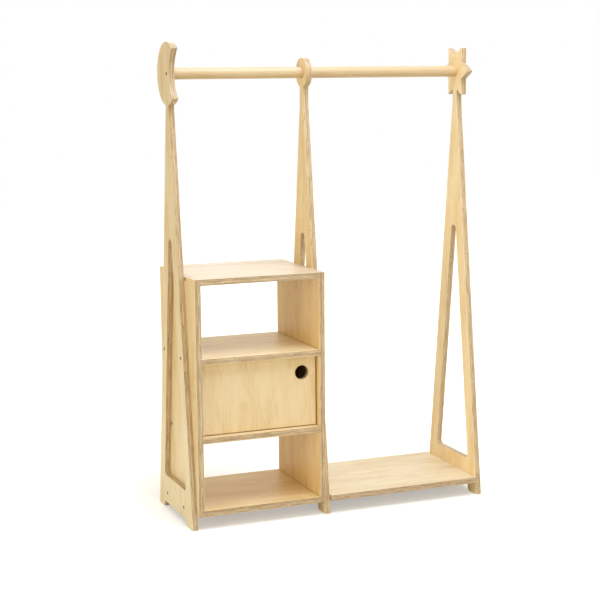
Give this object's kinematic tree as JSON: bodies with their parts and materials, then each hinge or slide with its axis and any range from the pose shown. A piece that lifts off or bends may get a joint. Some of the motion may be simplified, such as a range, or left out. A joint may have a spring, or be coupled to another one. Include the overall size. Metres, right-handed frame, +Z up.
{
  "type": "dress up storage unit with mirror",
  "caption": "Child's plywood dress-up unit: cabinet with a door, shelves and a mirror beside a hanging bay, under a rail on moon, ring and star trestles.",
  "frame": {"origin": "on the floor, at the middle of the outer box", "axes": "+X along the rail from the moon to the star, -Y the front with the door, +Z up"},
  "size_m": [0.785, 0.282, 1.16],
  "materials": {
    "birch_plywood": "satin lacquered birch plywood with bare striped edges",
    "thin_plywood": "satin lacquered thin birch plywood",
    "rail_wood": "satin lacquered solid birch",
    "dark_steel": "dark bronzed screws",
    "bright_steel": "zinc plated",
    "catch_plastic": "matt white",
    "mirror_sheet": "silvered acrylic sheet"
  },
  "bodies": {
    "frame": {"trestle_left": "birch_plywood", "trestle_centre": "birch_plywood", "trestle_right": "birch_plywood", "hanging_rail": "rail_wood", "rail_screws": "dark_steel", "cabinet_side_left": "birch_plywood", "cabinet_side_right": "birch_plywood", "cabinet_top": "birch_plywood", "upper_shelf": "birch_plywood", "lower_shelf": "birch_plywood", "cabinet_base": "birch_plywood", "cupboard_back": "thin_plywood", "shelf_screws_left": "dark_steel", "shelf_screws_right": "dark_steel", "side_screws_left": "dark_steel", "side_screws_right": "dark_steel", "bay_shelf": "birch_plywood", "bay_shelf_screws": "dark_steel", "bay_shelf_dowels": "rail_wood", "hinge_frame_leaves": "bright_steel", "hinge_pins": "bright_steel", "hinge_frame_screws": "bright_steel", "catch_body": "catch_plastic", "catch_body_screws": "bright_steel", "mirror": "mirror_sheet", "mirror_screws": "bright_steel"},
    "door": {"door": "birch_plywood", "hinge_door_leaves": "bright_steel", "hinge_door_screws": "bright_steel", "catch_plate": "bright_steel", "catch_plate_screw": "bright_steel"}
  },
  "joints": [
    {"name": "door_hinge", "type": "hinge", "parent": "frame", "child": "door", "pos_m": [-0.35975, -0.12705, 0.315], "axis": [0, 0, -1], "range_deg": [0, 105]}
  ]
}
